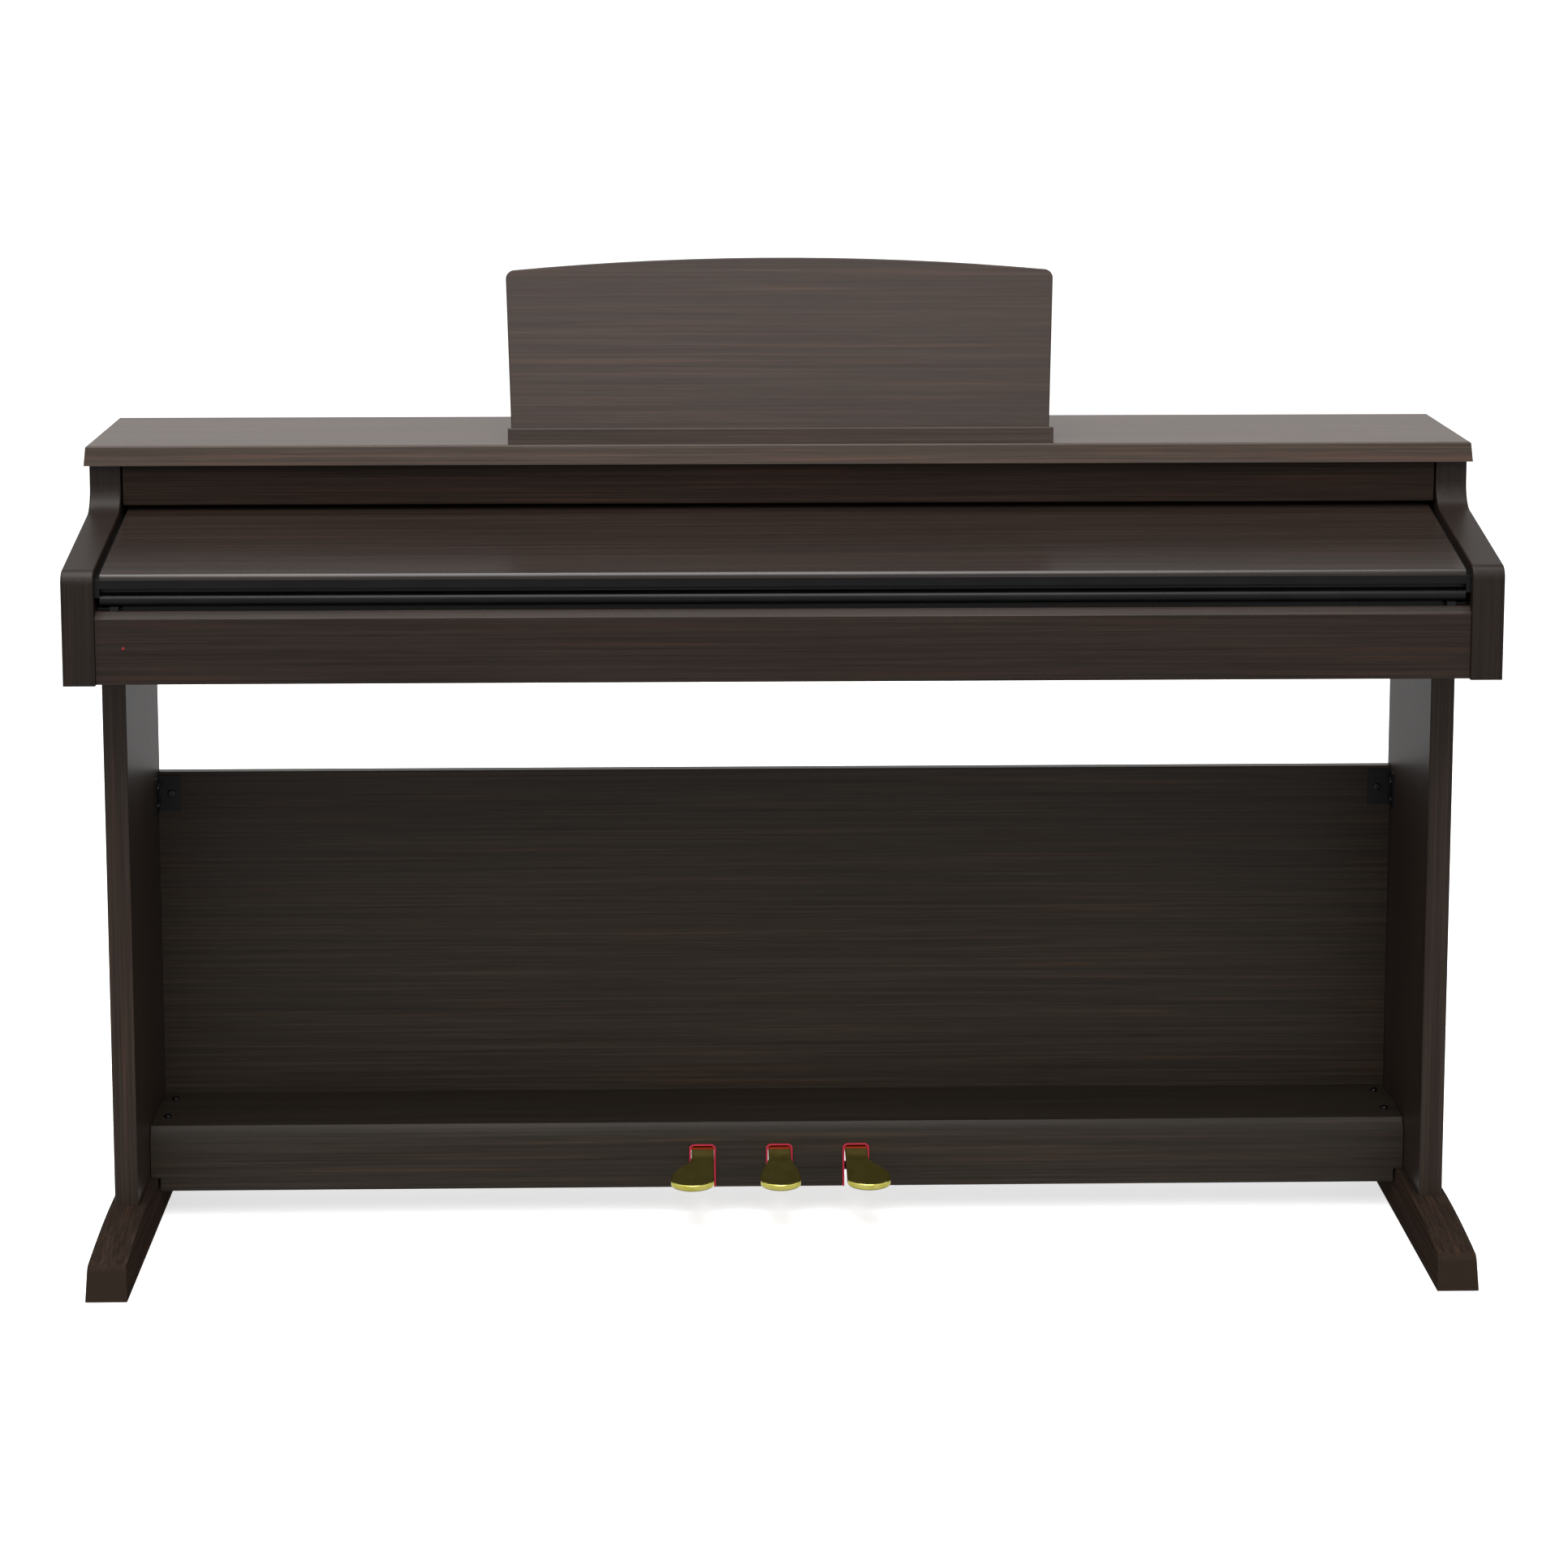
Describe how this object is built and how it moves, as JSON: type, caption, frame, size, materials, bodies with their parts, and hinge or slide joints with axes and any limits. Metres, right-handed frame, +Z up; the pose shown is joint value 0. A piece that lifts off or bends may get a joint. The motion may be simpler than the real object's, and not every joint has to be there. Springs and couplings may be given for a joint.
{
  "type": "digital piano",
  "caption": "Console digital piano on a slab-leg stand, with a sliding key cover, a folding music rest, weighted keys and brass pedals.",
  "frame": {"origin": "on the floor, under the middle of the overall box", "axes": "+X to the player's right along the keyboard, +Y from the player to the back, +Z up"},
  "size_m": [1.388, 0.42, 1.0126],
  "materials": {
    "rosewood": "satin dark rosewood laminate",
    "case_board": "plain dark board",
    "black_satin": "satin black",
    "key_white": "gloss white",
    "key_black": "satin black",
    "felt": "dark red felt",
    "brass": "brushed brass",
    "steel": "zinc-plated steel",
    "black_steel": "black painted steel",
    "rubber": "matt black rubber",
    "lamp": "clear red light pipe",
    "circuit": "green circuit board",
    "speaker": "dark paper cone"
  },
  "bodies": {
    "cabinet": {"back_board": "case_board", "back_panel": "rosewood", "cover_tracks": "black_satin", "fallboard": "black_satin", "foot_glides": "rubber", "foot_left": "rosewood", "foot_right": "rosewood", "jack_plate": "black_satin", "key_bed": "case_board", "key_block_left": "black_satin", "key_block_right": "black_satin", "key_felts": "felt", "key_frame": "steel", "key_pivot_rod": "steel", "key_slip": "rosewood", "leg_left": "rosewood", "leg_right": "rosewood", "main_circuit_board": "circuit", "name_board": "rosewood", "pedal_bracket": "steel", "pedal_felts": "felt", "pedal_rail": "rosewood", "pedal_shelf": "rosewood", "pedal_springs": "steel", "power_lamp": "lamp", "rest_hinges": "steel", "rest_ledge": "rosewood", "rubber_pads": "rubber", "side_panel_left": "rosewood", "side_panel_right": "rosewood", "speaker_left": "speaker", "speaker_right": "speaker", "stand_brackets": "black_steel", "stand_screws": "steel", "top_board": "rosewood"},
    "cover": {"key_cover": "rosewood", "cover_handle": "black_satin", "cover_runners": "black_satin"},
    "rest": {"rest_panel": "rosewood", "stay_brackets": "steel"},
    "stay_left": {"rest_stay_left": "steel"},
    "stay_right": {"rest_stay_right": "steel"},
    "pedal_soft": {"pedal_soft": "brass"},
    "pedal_sostenuto": {"pedal_sostenuto": "brass"},
    "pedal_damper": {"pedal_damper": "brass"},
    "power_button": {"power_button": "black_satin"},
    "function_button": {"function_button": "black_satin"},
    "volume_slider": {"volume_slider": "black_satin"},
    "keys_a": {"keys_a": "key_white"},
    "keys_b": {"keys_b": "key_white"},
    "keys_c": {"keys_c": "key_white"},
    "keys_d": {"keys_d": "key_white"},
    "keys_e": {"keys_e": "key_white"},
    "keys_f": {"keys_f": "key_white"},
    "keys_g": {"keys_g": "key_white"},
    "keys_a_sharp": {"keys_a_sharp": "key_black"},
    "keys_c_sharp": {"keys_c_sharp": "key_black"},
    "keys_d_sharp": {"keys_d_sharp": "key_black"},
    "keys_f_sharp": {"keys_f_sharp": "key_black"},
    "keys_g_sharp": {"keys_g_sharp": "key_black"}
  },
  "joints": [
    {"name": "cover_slide", "type": "slide", "parent": "cabinet", "child": "cover", "axis": [0, 0.9848, 0.1736], "range_m": [0, 0.18]},
    {"name": "rest_fold", "type": "hinge", "parent": "cabinet", "child": "rest", "pos_m": [0, 0.0062, 0.84293], "axis": [-1, 0, 0], "range_deg": [0, 76]},
    {"name": "stay_left_fold", "type": "hinge", "parent": "rest", "child": "stay_left", "pos_m": [-0.15, 0.02799, 0.89934], "axis": [1, 0, 0], "range_deg": [0, 136.1]},
    {"name": "stay_right_fold", "type": "hinge", "parent": "rest", "child": "stay_right", "pos_m": [0.15, 0.02799, 0.89934], "axis": [1, 0, 0], "range_deg": [0, 136.1]},
    {"name": "pedal_soft_press", "type": "hinge", "parent": "cabinet", "child": "pedal_soft", "pos_m": [-0.0805, 0.162, 0.0731], "axis": [1, 0, 0], "range_deg": [0, 4.5], "stiffness_Nm_per_rad": 20, "springref_deg": -6.88, "deforming": ["pedal_springs"]},
    {"name": "pedal_sostenuto_press", "type": "hinge", "parent": "cabinet", "child": "pedal_sostenuto", "pos_m": [0, 0.162, 0.0731], "axis": [1, 0, 0], "range_deg": [0, 4.5], "stiffness_Nm_per_rad": 20, "springref_deg": -6.88, "deforming": ["pedal_springs"]},
    {"name": "pedal_damper_press", "type": "hinge", "parent": "cabinet", "child": "pedal_damper", "pos_m": [0.0805, 0.162, 0.0731], "axis": [1, 0, 0], "range_deg": [0, 4.5], "stiffness_Nm_per_rad": 20, "springref_deg": -6.88, "deforming": ["pedal_springs"]},
    {"name": "power_press", "type": "slide", "parent": "cabinet", "child": "power_button", "axis": [0, 0, -1], "range_m": [0, 0.0015], "stiffness_N_per_m": 300, "springref_m": -0.004},
    {"name": "function_press", "type": "slide", "parent": "cabinet", "child": "function_button", "axis": [0, 0, -1], "range_m": [0, 0.0015], "stiffness_N_per_m": 300, "springref_m": -0.004},
    {"name": "volume_slide", "type": "slide", "parent": "cabinet", "child": "volume_slider", "axis": [0, 1, 0], "range_m": [-0.014, 0.014]},
    {"name": "keys_a_press", "type": "hinge", "parent": "cabinet", "child": "keys_a", "pos_m": [0, 0.035, 0.6865], "axis": [1, 0, 0], "range_deg": [0, 2.5], "stiffness_Nm_per_rad": 3.2, "springref_deg": -28.65},
    {"name": "keys_b_press", "type": "hinge", "parent": "cabinet", "child": "keys_b", "pos_m": [0, 0.035, 0.6865], "axis": [1, 0, 0], "range_deg": [0, 2.5], "stiffness_Nm_per_rad": 3.2, "springref_deg": -28.65},
    {"name": "keys_c_press", "type": "hinge", "parent": "cabinet", "child": "keys_c", "pos_m": [0, 0.035, 0.6865], "axis": [1, 0, 0], "range_deg": [0, 2.5], "stiffness_Nm_per_rad": 3.2, "springref_deg": -28.65},
    {"name": "keys_d_press", "type": "hinge", "parent": "cabinet", "child": "keys_d", "pos_m": [0, 0.035, 0.6865], "axis": [1, 0, 0], "range_deg": [0, 2.5], "stiffness_Nm_per_rad": 3.2, "springref_deg": -28.65},
    {"name": "keys_e_press", "type": "hinge", "parent": "cabinet", "child": "keys_e", "pos_m": [0, 0.035, 0.6865], "axis": [1, 0, 0], "range_deg": [0, 2.5], "stiffness_Nm_per_rad": 3.2, "springref_deg": -28.65},
    {"name": "keys_f_press", "type": "hinge", "parent": "cabinet", "child": "keys_f", "pos_m": [0, 0.035, 0.6865], "axis": [1, 0, 0], "range_deg": [0, 2.5], "stiffness_Nm_per_rad": 3.2, "springref_deg": -28.65},
    {"name": "keys_g_press", "type": "hinge", "parent": "cabinet", "child": "keys_g", "pos_m": [0, 0.035, 0.6865], "axis": [1, 0, 0], "range_deg": [0, 2.5], "stiffness_Nm_per_rad": 3.2, "springref_deg": -28.65},
    {"name": "keys_a_sharp_press", "type": "hinge", "parent": "cabinet", "child": "keys_a_sharp", "pos_m": [0, 0.035, 0.6865], "axis": [1, 0, 0], "range_deg": [0, 2.5], "stiffness_Nm_per_rad": 3.2, "springref_deg": -28.65},
    {"name": "keys_c_sharp_press", "type": "hinge", "parent": "cabinet", "child": "keys_c_sharp", "pos_m": [0, 0.035, 0.6865], "axis": [1, 0, 0], "range_deg": [0, 2.5], "stiffness_Nm_per_rad": 3.2, "springref_deg": -28.65},
    {"name": "keys_d_sharp_press", "type": "hinge", "parent": "cabinet", "child": "keys_d_sharp", "pos_m": [0, 0.035, 0.6865], "axis": [1, 0, 0], "range_deg": [0, 2.5], "stiffness_Nm_per_rad": 3.2, "springref_deg": -28.65},
    {"name": "keys_f_sharp_press", "type": "hinge", "parent": "cabinet", "child": "keys_f_sharp", "pos_m": [0, 0.035, 0.6865], "axis": [1, 0, 0], "range_deg": [0, 2.5], "stiffness_Nm_per_rad": 3.2, "springref_deg": -28.65},
    {"name": "keys_g_sharp_press", "type": "hinge", "parent": "cabinet", "child": "keys_g_sharp", "pos_m": [0, 0.035, 0.6865], "axis": [1, 0, 0], "range_deg": [0, 2.5], "stiffness_Nm_per_rad": 3.2, "springref_deg": -28.65}
  ],
  "couplings": [
    {"joint": "stay_left_fold", "follows": "rest_fold", "ratio": 1.7895},
    {"joint": "stay_right_fold", "follows": "rest_fold", "ratio": 1.7895}
  ]
}
